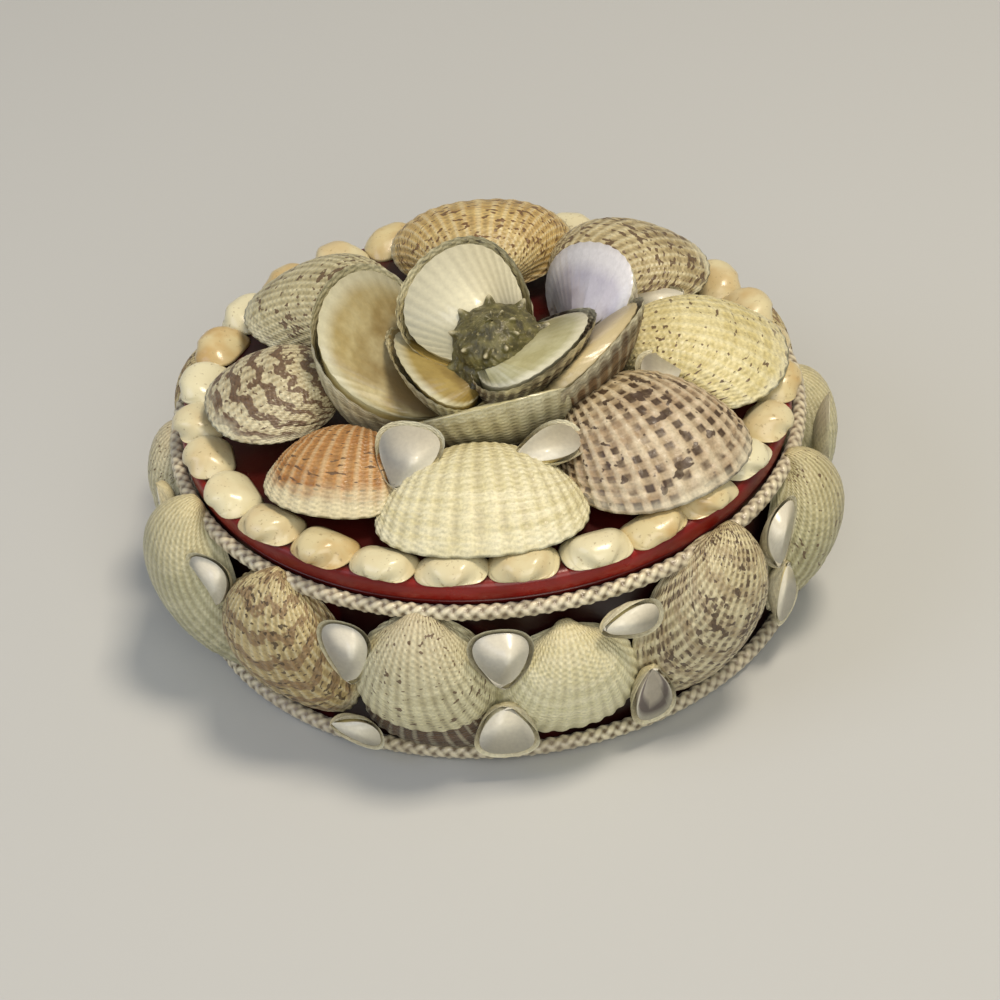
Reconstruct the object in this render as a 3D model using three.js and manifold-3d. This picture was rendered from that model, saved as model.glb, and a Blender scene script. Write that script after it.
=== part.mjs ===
// A round trinket box covered in sea shells: a card box with a lift-off lid, a braided cord round the top and the
// bottom of its wall, and shells glued on all over, with a rosette of open valves and a sea snail in the middle
// of the lid. Millimetres, +Z up. The origin is the middle of the underside, and the front of the box faces -Y.
import * as THREE from "three";
import { mergeVertices } from "three/addons/utils/BufferGeometryUtils.js";
import Module from "manifold-3d";

const wasm = await Module();
wasm.setup();

// Driving dimensions.
const BOX_RADIUS = 58.3; // outside of the card wall
const WALL = 3;
const BOX_HEIGHT = 36.6;
const LID_RADIUS = 58.7;
const LID_THICKNESS = 4;
const PLUG_DEPTH = 3; // the step under the lid, which drops into the box
const PLUG_CLEARANCE = 0.5;
const CORD = 3; // thickness of the braid
const GLUE = 0.3; // the gap between a shell and what carries it
const SHELL = 1.2; // thickness of an open valve
const FINEST = 0.2; // detail below this is dropped where solids were cut
const SIDES = 36; // sides of everything round
const LID_EDGE = 1.2; // rounding of the lid's upper edge
const BORDER_COUNT = 28;
const BORDER_FIRST = 4.5;
const BORDER_RADIUS = 54.9;
const BORDER_WIDTH = 12.6;
const BORDER_LENGTH = 8.5;
const SNAIL_PROFILE = [[0, -5], [7, -4.4], [9, -1.8], [8.5, 0.8], [6.6, 2.8], [4.6, 4.4], [2.4, 5.8], [0, 7]];
const SNAIL_WHORLS = 2.5;
const SNAIL_KNOB = 0.05;
const SNAIL_AROUND = 18;
const SNAIL_CENTRE = [2.7, -3, 52.5];
const SNAIL_TURN = [0.3, -0.1, 0.2];
const LID_TOP = BOX_HEIGHT + LID_THICKNESS;
const CORD_RADIUS = BOX_RADIUS + GLUE + CORD / 2;

// Forms of valve. point makes the beak's end of the outline narrow below 1, flare moves the widest place away
// from the beak, flat lowers the dome, and square fills out the ends of the outline below 1. turn is how far the
// rings swing up and over, in degrees.
const COCKLE = { point: 0.95, flare: 0.06, flat: 0.92, square: 0.9, turn: 112, around: 11, rings: 3 };
const PETAL = { point: 0.8, flare: 0.12, flat: 0.95, square: 1, turn: 112, around: 12, rings: 3 };
const CLAM = { point: 0.75, flare: 0.2, flat: 1.5, square: 0.85, turn: 100, around: 8, rings: 2 };
const BUTTON = { point: 1, flare: 0, flat: 0.8, square: 0.6, turn: 90, around: 8, rings: 1 };
const BREADTH = 0.5; // the rings get narrower more slowly than they get shorter, which rounds the dome

// The valves from the top one down: whatever comes later is cut back where an earlier one covers it.
// az is the bearing from the front, towards +X, r and z are the middle of the outline, pitch is the way the
// dome faces (0 straight out, 90 straight up), spin turns the beak, and rock tips the valve sideways.
const PETALS = [
  // name, az, r, z, pitch, spin, rock, width, length
  ["petal_inner_left", -49, 10.5, 50.5, -61, 200, -14, 27.5, 20],
  ["petal_inner_right", 42, 12.5, 54.5, -66, 171, 7, 28, 25],
  ["petal_inner_back", 196, 4, 56, -46, 149, 4, 27, 27.5],
  ["petal_back_right", 110, 22, 54, -31, 158, 0, 29, 21],
  ["petal_left", -85, 17.5, 52, -38, 200, -20, 36, 35],
  ["petal_right", 55, 21.5, 54.5, -50, 190, 5, 30, 28],
  ["petal_front", 7, 20, 51, -56, 187, 5, 32, 26],
];
const LID_CLAMS = [
  ["lid_clam_left", -29, 35, 49.5, -125, 0, 0, 13, 13],
  ["lid_clam_front", 22, 35, 48, -100, 80, 0, 9, 14],
  ["lid_clam_right", 68, 37, 50, -100, 80, 0, 9, 14],
  ["lid_clam_back", 108, 36, 50, -90, 0, 0, 10, 12],
];
const SIDE_CLAMS = [
  ["side_clam_1", -78, 63, 27, 180, 180, 0, 10, 15],
  ["side_clam_2", -55, 63, 29, 180, 0, 20, 10, 13],
  ["side_clam_3", -26, 63, 27.5, 180, 0, 0, 10.5, 15],
  ["side_clam_4", -26, 63, 8, 180, 90, 0, 7, 11],
  ["side_clam_5", -1, 63, 28.5, 180, 0, 0, 11.5, 14],
  ["side_clam_6", -1.5, 63, 12, 180, 180, 0, 11.5, 12.5],
  ["side_clam_7", 20, 63, 31, 180, 90, 0, 8, 12],
  ["side_clam_8", 23, 63, 12, 180, 180, 0, 9, 13],
  ["side_clam_9", 52.5, 63, 30, 180, 0, 0, 11, 15],
  ["side_clam_10", 54, 63, 15, 180, 180, 0, 9, 14],
  ["side_clam_11", 80, 64.5, 32, 180, 0, 0, 10, 14],
  ["side_clam_12", 105.5, 63, 11, 180, 180, 0, 10, 13],
  ["side_clam_13", 130.5, 63, 28, 180, 0, 0, 11, 14],
  ["side_clam_14", 155.5, 63, 11, 180, 180, 0, 10, 13],
  ["side_clam_15", 180.5, 63, 28, 180, 0, 0, 11, 14],
  ["side_clam_16", 205.5, 63, 11, 180, 180, 0, 10, 13],
  ["side_clam_17", 230.5, 63, 28, 180, 0, 0, 11, 14],
  ["side_clam_18", 255.5, 63, 11, 180, 180, 0, 10, 13],
];
const LID_SHELLS = [
  ["lid_shell_front", -3, 43, 43.5, 95, 0, 0, 38, 27],
  ["lid_shell_front_right", 43, 42, 44, 93, -10, 0, 36, 33],
  ["lid_shell_front_left", -41, 42, 44.7, 94, 25, 0, 27, 22],
  ["lid_shell_right", 86, 42, 44.5, 93, 0, 0, 33, 32],
  ["lid_shell_left", -79, 41, 47, 94, 0, 0, 27, 25],
  ["lid_shell_back_right", 133, 41, 46, 94, 0, 0, 33, 30],
  ["lid_shell_back_left", -127, 38, 46, 94, 0, 0, 31, 30],
  ["lid_shell_back", 178, 41, 46, 94, 0, 0, 37, 30],
];
const SIDE_SHELLS = [
  ["side_shell_1", -66, 59, 17, 0, 0, 0, 32, 36],
  ["side_shell_2", -41, 58.8, 19.5, 0, 0, 0, 31, 31],
  ["side_shell_3", -14, 58.8, 18.8, 0, 0, 0, 27.5, 29.5],
  ["side_shell_4", 10, 58.8, 16.3, 0, 0, 0, 27, 25.5],
  ["side_shell_5", 35.5, 58.8, 20.5, 0, -25, 0, 27, 34],
  ["side_shell_6", 67, 58.8, 18.1, 0, 0, 0, 28, 33],
  ["side_shell_7", 93, 57.8, 18.6, 0, 0, 0, 28, 30],
  ["side_shell_8", 118, 58.8, 18.6, 0, 0, 0, 28, 30],
  ["side_shell_9", 143, 58.8, 18.6, 0, 0, 0, 28, 30],
  ["side_shell_10", 168, 58.8, 18.6, 0, 0, 0, 28, 30],
  ["side_shell_11", 193, 58.8, 18.6, 0, 0, 0, 28, 30],
  ["side_shell_12", 218, 58.8, 18.6, 0, 0, 0, 28, 30],
  ["side_shell_13", 243, 58.8, 18.6, 0, 0, 0, 28, 30],
  ["side_shell_14", 267, 57, 18.6, 0, 0, 0, 28, 30],
  ["side_shell_15", -11, 58.8, 12, 0, 0, 0, 27, 20],
];

// ---- solids

function toSolid(geometry) {
  const bare = new THREE.BufferGeometry().setAttribute("position", geometry.getAttribute("position"));
  if (geometry.index) bare.setIndex(geometry.index);
  const merged = mergeVertices(bare, 1e-4);
  return new wasm.Manifold(
    new wasm.Mesh({
      numProp: 3,
      vertProperties: new Float32Array(merged.attributes.position.array),
      triVerts: new Uint32Array(merged.index.array),
    }),
  );
}

function toGeometry(solid) {
  const mesh = solid.getMesh();
  const count = mesh.numProp;
  const points = new Float32Array(mesh.numVert * 3);
  for (let i = 0; i < mesh.numVert; i++) {
    points.set(mesh.vertProperties.subarray(i * count, i * count + 3), i * 3);
  }
  return new THREE.BufferGeometry()
    .setAttribute("position", new THREE.BufferAttribute(points, 3))
    .setIndex(new THREE.BufferAttribute(mesh.triVerts, 1));
}

const largest = (solid) => solid.decompose().sort((a, b) => b.volume() - a.volume())[0];

// ---- one valve

// The margin is a loop through the beak. Each ring is that loop swung about the hinge line, X, and shrunk, so
// the rings climb into a dome that leans over the beak, as a growing shell does.
function valve(form, width, length, lowest = 0) {
  const { point, flare, flat, square, turn, around, rings } = form;
  const points = [0, 0, 0];
  for (let j = 0; j <= rings; j++) {
    const swing = THREE.MathUtils.degToRad(lowest + ((turn - lowest) * j) / rings);
    const shrink = Math.exp(-flat * Math.max(0, swing));
    const narrow = Math.exp(-flat * Math.max(0, swing) * (BREADTH + ((1 - BREADTH) * swing) / 2.9));
    for (let i = 1; i < around; i++) {
      const phi = (2 * Math.PI * i) / around;
      const sine = Math.sin(phi);
      const side = Math.sign(sine) * Math.pow(Math.abs(sine), square);
      const across = (width / 2) * side * (1 - flare * Math.cos(phi)) * narrow;
      const along = length * Math.pow((1 - Math.cos(phi)) / 2, point) * shrink;
      points.push(across, along * Math.cos(swing), along * Math.sin(swing));
    }
  }
  const at = (j, i) => 1 + j * (around - 1) + i;
  const faces = [];
  for (let i = 0; i < around - 2; i++) {
    faces.push(0, at(0, i + 1), at(0, i));
    faces.push(0, at(rings, i), at(rings, i + 1));
  }
  for (let j = 0; j < rings; j++) {
    faces.push(0, at(j, 0), at(j + 1, 0));
    faces.push(0, at(j + 1, around - 2), at(j, around - 2));
    for (let i = 0; i < around - 2; i++) {
      faces.push(at(j, i), at(j + 1, i + 1), at(j + 1, i));
      faces.push(at(j, i), at(j, i + 1), at(j + 1, i + 1));
    }
  }
  return new THREE.BufferGeometry()
    .setAttribute("position", new THREE.BufferAttribute(new Float32Array(points), 3))
    .setIndex(faces);
}

// The room that a neighbour leaves: the convex hull of the solid with a gap on every side.
function room(solid, gap) {
  const { vertProperties, numProp, numVert } = solid.getMesh();
  const points = [];
  for (let i = 0; i < numVert; i++) {
    const [x, y, z] = vertProperties.subarray(i * numProp, i * numProp + 3);
    points.push([x + gap, y, z], [x - gap, y, z], [x, y + gap, z], [x, y - gap, z], [x, y, z + gap], [x, y, z - gap]);
  }
  return wasm.Manifold.hull(points);
}

// Where a row of the tables puts its valve: the valve's own Y runs from the beak to the margin and Z to the dome.
function placed([, az, r, z, pitch, spin, rock, , length]) {
  const turn = (axis, degrees) => new THREE.Matrix4().makeRotationAxis(axis, THREE.MathUtils.degToRad(degrees));
  const X = new THREE.Vector3(1, 0, 0);
  const Y = new THREE.Vector3(0, 1, 0);
  const Z = new THREE.Vector3(0, 0, 1);
  return turn(Z, az + 180)
    .multiply(new THREE.Matrix4().makeTranslation(0, r, z))
    .multiply(turn(X, pitch - 90))
    .multiply(turn(Z, spin))
    .multiply(turn(Y, rock))
    .multiply(new THREE.Matrix4().makeTranslation(0, -length / 2, 0));
}

// ---- the card box, its lid and the cords

function lathe(outline) {
  return new THREE.LatheGeometry(outline.map(([r, z]) => new THREE.Vector2(r, z)), SIDES).rotateX(Math.PI / 2);
}

function ring(height, thickness) {
  return new THREE.TorusGeometry(CORD_RADIUS, thickness / 2, 6, SIDES).translate(0, 0, height);
}

const boxBase = lathe([
  [0, 0],
  [BOX_RADIUS, 0],
  [BOX_RADIUS, BOX_HEIGHT],
  [BOX_RADIUS - WALL, BOX_HEIGHT],
  [BOX_RADIUS - WALL, WALL],
  [0, WALL],
]);

const lidEdge = [0, 45, 90].map((degrees) => {
  const angle = THREE.MathUtils.degToRad(degrees);
  return [LID_RADIUS - LID_EDGE * (1 - Math.cos(angle)), LID_TOP - LID_EDGE * (1 - Math.sin(angle))];
});
const plugRadius = BOX_RADIUS - WALL - PLUG_CLEARANCE;
const lid = lathe([
  [0, BOX_HEIGHT - PLUG_DEPTH],
  [plugRadius, BOX_HEIGHT - PLUG_DEPTH],
  [plugRadius, BOX_HEIGHT],
  [LID_RADIUS, BOX_HEIGHT],
  ...lidEdge,
  [0, LID_TOP],
]);
const topCordHeight = BOX_HEIGHT - CORD / 2 + 0.1;
const bottomCordHeight = CORD / 2 + 0.1;

const root = new THREE.Group();
root.name = "shell_box";

function add(name, geometry, color, roughness, matrix = new THREE.Matrix4()) {
  const mesh = new THREE.Mesh(geometry, new THREE.MeshStandardMaterial({ color, roughness, flatShading: true }));
  mesh.name = name;
  mesh.applyMatrix4(matrix);
  root.add(mesh);
}

add("box_base", boxBase, 0x7a1a10, 0.5);
add("lid", lid, 0x7a1a10, 0.5);
add("cord_top", ring(topCordHeight, CORD), 0xcdbfa0, 0.5);
add("cord_bottom", ring(bottomCordHeight, CORD), 0xcdbfa0, 0.5);

const body = toSolid(lathe([
  [0, -1],
  [BOX_RADIUS + GLUE, -1],
  [BOX_RADIUS + GLUE, BOX_HEIGHT - 1],
  [LID_RADIUS + GLUE, BOX_HEIGHT - GLUE],
  [LID_RADIUS + GLUE, LID_TOP - LID_EDGE],
  [LID_RADIUS + GLUE - LID_EDGE, LID_TOP + GLUE],
  [0, LID_TOP + GLUE],
]));
const cutters = [body, toSolid(ring(topCordHeight, CORD + 2 * GLUE)), toSolid(ring(bottomCordHeight, CORD + 2 * GLUE))];

// The lid's edge: a ring of small valves, side by side, joined into one piece where they touch.
let border;
let borderRoom;
for (let i = 0; i < BORDER_COUNT; i++) {
  const az = BORDER_FIRST + (360 * i) / BORDER_COUNT;
  const row = ["", az, BORDER_RADIUS, LID_TOP + GLUE, 90, 180, 0, BORDER_WIDTH, BORDER_LENGTH];
  const one = toSolid(valve(BUTTON, BORDER_WIDTH, BORDER_LENGTH).applyMatrix4(placed(row)));
  border = border ? border.add(one) : one;
  borderRoom = borderRoom ? borderRoom.add(room(one, GLUE)) : room(one, GLUE);
}
add("border_shells", toGeometry(border), 0xd8cfa8, 0.4);
cutters.push(borderRoom);

// The sea snail in the rosette: a squat turban with a seam that winds up it and a knob on every second side.
function snailGeometry() {
  const points = [];
  for (let j = 1; j < SNAIL_PROFILE.length - 1; j++) {
    const [reach, height] = SNAIL_PROFILE[j];
    for (let i = 0; i < SNAIL_AROUND; i++) {
      const phi = (2 * Math.PI * i) / SNAIL_AROUND;
      const seam = 1 + 0.06 * Math.cos((2 * Math.PI * SNAIL_WHORLS * j) / SNAIL_PROFILE.length - phi);
      const knob = 1 + SNAIL_KNOB * Math.cos((SNAIL_AROUND / 2) * phi);
      points.push(reach * seam * knob * Math.cos(phi), reach * seam * knob * Math.sin(phi), height);
    }
  }
  const low = points.length / 3;
  points.push(0, 0, SNAIL_PROFILE[0][1], 0, 0, SNAIL_PROFILE.at(-1)[1]);
  const last = SNAIL_PROFILE.length - 3;
  const at = (j, i) => j * SNAIL_AROUND + (i % SNAIL_AROUND);
  const faces = [];
  for (let i = 0; i < SNAIL_AROUND; i++) {
    faces.push(low, at(0, i + 1), at(0, i));
    faces.push(low + 1, at(last, i), at(last, i + 1));
    for (let j = 0; j < last; j++) {
      faces.push(at(j, i), at(j, i + 1), at(j + 1, i + 1));
      faces.push(at(j, i), at(j + 1, i + 1), at(j + 1, i));
    }
  }
  return new THREE.BufferGeometry()
    .setAttribute("position", new THREE.BufferAttribute(new Float32Array(points), 3))
    .setIndex(faces);
}

const snailPlace = new THREE.Matrix4()
  .makeTranslation(...SNAIL_CENTRE)
  .multiply(new THREE.Matrix4().makeRotationFromEuler(new THREE.Euler(...SNAIL_TURN)));
add("snail", snailGeometry(), 0x4a4a3c, 0.6, snailPlace);
cutters.push(room(toSolid(snailGeometry().applyMatrix4(snailPlace)), GLUE));

function glueOn(rows, form, hollow, color) {
  for (const row of rows) {
    const [name, , , , , , , width, length] = row;
    const place = placed(row);
    const whole = toSolid(valve(form, width, length).applyMatrix4(place));
    let solid = whole;
    if (hollow) {
      const inside = valve(form, width - 2 * SHELL, length - 2 * SHELL, -4);
      inside.translate(0, SHELL, -0.05);
      solid = solid.subtract(toSolid(inside.applyMatrix4(place)));
    }
    for (const cutter of cutters) solid = solid.subtract(cutter);
    solid = largest(solid).simplify(FINEST);
    cutters.push(room(whole, GLUE));
    const geometry = toGeometry(solid).applyMatrix4(place.clone().invert());
    add(name, geometry, color, 0.6, place);
  }
}

glueOn(PETALS, PETAL, true, 0xd8d0b0);
glueOn(LID_CLAMS, CLAM, true, 0xe0d8c0);
glueOn(SIDE_CLAMS, CLAM, true, 0xe0d8c0);
glueOn(LID_SHELLS, COCKLE, false, 0xc0b090);
glueOn(SIDE_SHELLS, COCKLE, false, 0xc0b898);

export default root;
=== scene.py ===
"""A round trinket box covered in sea shells: a card box with a lift-off lid, a braid round the top and bottom
of its wall, ribbed valves glued on all over, and a rosette of open valves with a sea snail on the lid."""

import math

import bmesh
import bpy
import numpy as np
from mathutils import Euler, Matrix, Vector


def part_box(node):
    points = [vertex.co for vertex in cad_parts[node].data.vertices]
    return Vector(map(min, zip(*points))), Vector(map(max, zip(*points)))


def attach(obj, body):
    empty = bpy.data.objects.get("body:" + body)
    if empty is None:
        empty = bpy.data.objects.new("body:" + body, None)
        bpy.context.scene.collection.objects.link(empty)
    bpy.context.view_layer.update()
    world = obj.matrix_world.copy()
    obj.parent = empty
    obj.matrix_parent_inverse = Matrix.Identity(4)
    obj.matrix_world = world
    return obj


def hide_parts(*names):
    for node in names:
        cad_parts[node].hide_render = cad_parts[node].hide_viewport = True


bl_info = {
    "name": "Shell Box",
    "version": (1, 0, 0),
    "blender": (4, 5, 0),
    "location": "View3D > Sidebar > Shell Box",
    "description": "Makes a trinket box covered in sea shells round its packed parts",
    "category": "Object",
}

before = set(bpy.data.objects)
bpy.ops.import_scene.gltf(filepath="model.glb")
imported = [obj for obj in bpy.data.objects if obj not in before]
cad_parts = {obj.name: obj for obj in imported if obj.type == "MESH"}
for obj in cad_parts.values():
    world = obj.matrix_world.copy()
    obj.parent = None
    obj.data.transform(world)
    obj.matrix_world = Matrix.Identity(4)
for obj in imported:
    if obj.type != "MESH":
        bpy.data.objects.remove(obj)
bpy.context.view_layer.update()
MM = 0.001
TAU = 2 * math.pi

# ---- forms of valve

# point makes the beak's end of the outline narrow, flare moves the widest place away from the beak, flat
# lowers the dome, and square fills out the ends of the outline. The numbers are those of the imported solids.
COCKLE = {"point": 0.95, "flare": 0.06, "flat": 0.92, "square": 0.9}
PETAL = {"point": 0.8, "flare": 0.12, "flat": 0.95, "square": 1.0}
CLAM = {"point": 0.75, "flare": 0.2, "flat": 1.5, "square": 0.85}
BUTTON = {"point": 1.0, "flare": 0.0, "flat": 0.8, "square": 0.6}
BLUNT = {**BUTTON, "square": 0.42}  # the edge shells' ends are blunter than their solids'
BREADTH = 0.5  # the rings get narrower more slowly than they get shorter, which rounds the dome
TURN = 2.9  # how far a valve's rings swing up and over into its beak, in radians
LINING_TURN = 1.7  # the same for the inside of an open valve, which doesn't curl into the beak

# Where each valve sits, in millimetres and degrees: the bearing from the front towards +X, the middle of
# the outline (radius and height), the way the dome faces (0 straight out, 90 up), the turn of the beak, the
# tip to one side, the width and the length.
PETALS = {
    "petal_inner_left": (-49, 10.5, 50.5, -61, 200, -14, 27.5, 20),
    "petal_inner_right": (42, 12.5, 54.5, -66, 171, 7, 28, 25),
    "petal_inner_back": (196, 4, 56, -46, 149, 4, 27, 27.5),
    "petal_back_right": (110, 22, 54, -31, 158, 0, 29, 21),
    "petal_left": (-85, 17.5, 52, -38, 200, -20, 36, 35),
    "petal_right": (55, 21.5, 54.5, -50, 190, 5, 30, 28),
    "petal_front": (7, 20, 51, -56, 187, 5, 32, 26),
}
CLAMS = {
    "lid_clam_left": (-23, 38, 52, -125, 0, 0, 13, 13),
    "lid_clam_front": (16.5, 36.5, 51.5, -105, 80, 0, 9, 14),
    "lid_clam_right": (62, 36.5, 52, -105, 80, 0, 9, 14),
    "lid_clam_back": (108, 36, 50, -90, 0, 0, 10, 12),
    "side_clam_1": (-78, 65.2, 27, 180, 180, 0, 10, 15),
    "side_clam_2": (-55, 65.2, 29, 180, 0, 20, 10, 13),
    "side_clam_3": (-26, 65.2, 27.5, 180, 0, 0, 10.5, 15),
    "side_clam_4": (-26, 65.2, 8, 180, 90, 0, 7, 11),
    "side_clam_5": (-1, 65.2, 28.5, 180, 0, 0, 11.5, 14),
    "side_clam_6": (-1.5, 66.2, 12, 180, 180, 0, 11.5, 12.5),
    "side_clam_7": (20, 65.2, 31, 180, 90, 0, 8, 12),
    "side_clam_8": (23, 65.2, 12, 180, 180, 0, 9, 13),
    "side_clam_9": (52.5, 65.2, 30, 180, 0, 0, 11, 15),
    "side_clam_10": (54, 65.2, 15, 180, 180, 0, 9, 14),
    "side_clam_11": (80, 65.8, 32, 180, 0, 0, 10, 14),
    "side_clam_12": (105.5, 65.2, 11, 180, 180, 0, 10, 13),
    "side_clam_13": (130.5, 65.2, 28, 180, 0, 0, 11, 14),
    "side_clam_14": (155.5, 65.2, 11, 180, 180, 0, 10, 13),
    "side_clam_15": (180.5, 65.2, 28, 180, 0, 0, 11, 14),
    "side_clam_16": (205.5, 65.2, 11, 180, 180, 0, 10, 13),
    "side_clam_17": (230.5, 65.2, 28, 180, 0, 0, 11, 14),
    "side_clam_18": (255.5, 65.2, 11, 180, 180, 0, 10, 13),
}
COCKLES = {
    "lid_shell_front": (-3, 43, 43.5, 95, 0, 0, 38, 27),
    "lid_shell_front_right": (43, 42, 44, 93, -10, 0, 36, 33),
    "lid_shell_front_left": (-41, 42, 44.7, 94, 25, 0, 27, 22),
    "lid_shell_right": (86, 42, 44.5, 93, 0, 0, 33, 32),
    "lid_shell_left": (-79, 41, 47, 94, 0, 0, 27, 25),
    "lid_shell_back_right": (133, 41, 46, 94, 0, 0, 33, 30),
    "lid_shell_back_left": (-127, 38, 46, 94, 0, 0, 31, 30),
    "lid_shell_back": (178, 41, 46, 94, 0, 0, 37, 30),
    "side_shell_1": (-66, 59, 18.4, 0, 0, 0, 32, 36),
    "side_shell_2": (-41, 58.8, 19.5, 0, 0, 0, 31, 31),
    "side_shell_3": (-14, 58.8, 18.8, 0, 0, 0, 27.5, 29.5),
    "side_shell_4": (10, 58.8, 16.3, 0, 0, 0, 27, 25.5),
    "side_shell_5": (35.5, 58.8, 20.5, 0, -25, 0, 27, 34),
    "side_shell_6": (67, 58.8, 18.1, 0, 0, 0, 28, 33),
    "side_shell_7": (93, 57.8, 18.6, 0, 0, 0, 28, 30),
    "side_shell_8": (118, 58.8, 18.6, 0, 0, 0, 28, 30),
    "side_shell_9": (143, 58.8, 18.6, 0, 0, 0, 28, 30),
    "side_shell_10": (168, 58.8, 18.6, 0, 0, 0, 28, 30),
    "side_shell_11": (193, 58.8, 18.6, 0, 0, 0, 28, 30),
    "side_shell_12": (218, 58.8, 18.6, 0, 0, 0, 28, 30),
    "side_shell_13": (243, 58.8, 18.6, 0, 0, 0, 28, 30),
    "side_shell_14": (267, 57, 18.6, 0, 0, 0, 28, 30),
    "side_shell_15": (-13.5, 58.8, 11.6, 0, 0, 0, 27, 20),
}

# The sea snail: radius and height from the middle of its base to its tip, and where it sits.
SNAIL_PROFILE = ((0, -5), (7, -4.4), (9, -1.8), (8.5, 0.8), (6.6, 2.8), (4.6, 4.4), (2.4, 5.8), (0, 7))
SNAIL_CENTRE = (2.7, -3, 52.5)
SNAIL_TURN = (0.3, -0.1, 0.2)
SNAIL_KNOBS = 9
SNAIL_WHORLS = 2.5

# The ring of small valves round the lid's edge: how many, the bearing of the first, the ring's radius, its
# height, and the width and length of one.
EDGE_COUNT = 28
EDGE_FIRST = 4.5
EDGE_RING = 54.9
EDGE_SEAT = 40.9
EDGE_WIDTH = 12.9
EDGE_LENGTH = 8.9

# The turned card parts, as (radius, height) points from the axis round to the axis.
ROUND_STEPS = 200
BOX_PROFILE = ((0, 0), (57.9, 0), (58.3, 0.4), (58.3, 36.3), (58.0, 36.6), (55.6, 36.6), (55.3, 36.3),
               (55.3, 3), (0, 3))
LID_PROFILE = ((0, 33.6), (54.5, 33.6), (54.8, 33.9), (54.8, 36.6), (58.2, 36.65), (58.6, 36.9),
               (58.72, 37.3), (58.72, 39.3), (58.5, 39.9), (58.1, 40.3), (57.5, 40.55), (56.7, 40.6), (0, 40.6))

# The braid's strands: how many cross on the way round the box, and how many round the braid itself.
PLAITS = 150
STRANDS = 3

# What each ribbed valve looks like. Anything left out comes from PLAIN. alt is the colour of the older
# growth rings, umbo that of the beak from reach upwards, and rim the height of the fresh margin.
# groove_darkness, flecks, bands and net are how strongly each mark shows, the first being how much the
# grooves between the ribs are coloured darker, towards groove_colour. Flecks sit in cells, and bands have zigs
# that rise by zag. height, bead, steps and chips are relief: ribs, beads, halts in growth and bites out of the
# margin.
PLAIN = {
    "base": "d6cfa8", "alt": "bdb48c", "umbo": "cbbd8e", "reach": 0.45, "groove_colour": "6a5a42", "groove_darkness": 0.45,
    "fleck": "5d4632", "flecks": 0.0, "cells": 30, "band": "7a5a3c", "bands": 0.0, "zigs": 9, "zag": 0.35,
    "margin": "dedabc", "rim": 0.05, "ribs": 30, "height": 0.3, "bead": 0.09, "beads": 34, "steps": 2,
    "gloss": 0.37, "net": 0.0, "skew": 0.05, "chips": 0.0,
}
LOOKS = {
    "lid_shell_front": {"base": "e2dcb8", "alt": "d0c89c", "groove_darkness": 0.3, "bead": 0.24, "beads": 30,
                        "ribs": 31},
    "lid_shell_front_right": {"base": "c4b294", "alt": "a58e70", "net": 1.0, "fleck": "3a261c",
                              "flecks": 0.25, "cells": 15, "margin": "d6cfb6", "rim": 0.05, "ribs": 32,
                              "height": 0.4, "bead": 0.2, "beads": 15, "skew": -0.1},
    "lid_shell_front_left": {"base": "b98a52", "alt": "a06c38", "umbo": "a8723a", "margin": "d8d0ac",
                             "rim": 0.16, "ribs": 27, "steps": 4, "flecks": 0.2, "bead": 0.16},
    "lid_shell_right": {"base": "e0d6a4", "alt": "cfc288", "flecks": 0.16, "ribs": 30, "groove_darkness": 0.2},
    "lid_shell_left": {"base": "cdc4a2", "alt": "b4a886", "bands": 0.85, "band": "563626", "zigs": 12,
                       "ribs": 40, "height": 0.12, "bead": 0.05, "flecks": 0.2},
    "lid_shell_back_left": {"base": "c0b892", "alt": "a69e7a", "flecks": 0.35, "ribs": 38, "height": 0.18},
    "lid_shell_back": {"base": "d0b676", "alt": "b8985c", "flecks": 0.45, "fleck": "6b4a2c", "ribs": 34,
                       "height": 0.2},
    "lid_shell_back_right": {"base": "c6b88e", "alt": "a4946c", "flecks": 0.55, "ribs": 32, "height": 0.25},
    "side_shell_1": {"base": "c2bf9e", "alt": "acaa88", "ribs": 30, "groove_darkness": 0.3},
    "side_shell_2": {"base": "c4b07c", "alt": "a89464", "flecks": 0.42, "bands": 0.7, "zigs": 7, "ribs": 32,
                     "fleck": "4a3a26"},
    "side_shell_3": {"base": "dcd7b2", "alt": "c6c09a", "flecks": 0.1, "ribs": 30, "height": 0.22,
                     "steps": 5, "chips": 1.0, "umbo": "b8a98a"},
    "side_shell_4": {"base": "e6e2c0", "alt": "d6d2aa", "ribs": 29, "height": 0.36, "bead": 0.16,
                     "beads": 30, "groove_darkness": 0.25},
    "side_shell_5": {"base": "ccc2a0", "alt": "b0a480", "net": 0.7, "flecks": 0.45, "fleck": "4a382c",
                     "ribs": 32, "bands": 0.35},
    "side_shell_6": {"base": "bab68e", "alt": "9e9a74", "height": 0.14, "bead": 0.04, "flecks": 0.06},
    "side_shell_15": {"base": "6a5848", "alt": "42342a", "net": 0.8, "flecks": 0.5, "ribs": 28},
}
SPARE_LOOKS = ("side_shell_2", "side_shell_3", "side_shell_5", "side_shell_6", "side_shell_1")


# ---- colour and nodes

def tone(code):
    """An sRGB hex colour as the linear colour that a shader reads."""
    parts = [int(code[i:i + 2], 16) / 255 for i in (0, 2, 4)]
    return (*[p / 12.92 if p <= 0.04045 else ((p + 0.055) / 1.055) ** 2.4 for p in parts], 1.0)


def put(tree, kind, links, **settings):
    """Adds a node. links holds its inputs by name or number: a node, whose first output is taken, another
    output of one, or a plain value."""
    new = tree.nodes.new("ShaderNode" + kind)
    for key, value in settings.items():
        setattr(new, key, value)
    for key, value in links.items():
        if isinstance(value, bpy.types.Node):
            value = value.outputs[0]
        if isinstance(value, bpy.types.NodeSocket):
            tree.links.new(value, new.inputs[key])
        else:
            new.inputs[key].default_value = value
    return new


def blank(name):
    """An empty material with its output, and its node tree."""
    made = bpy.data.materials.new(name)
    made.use_nodes = True
    made.node_tree.nodes.clear()
    return made, made.node_tree


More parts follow.
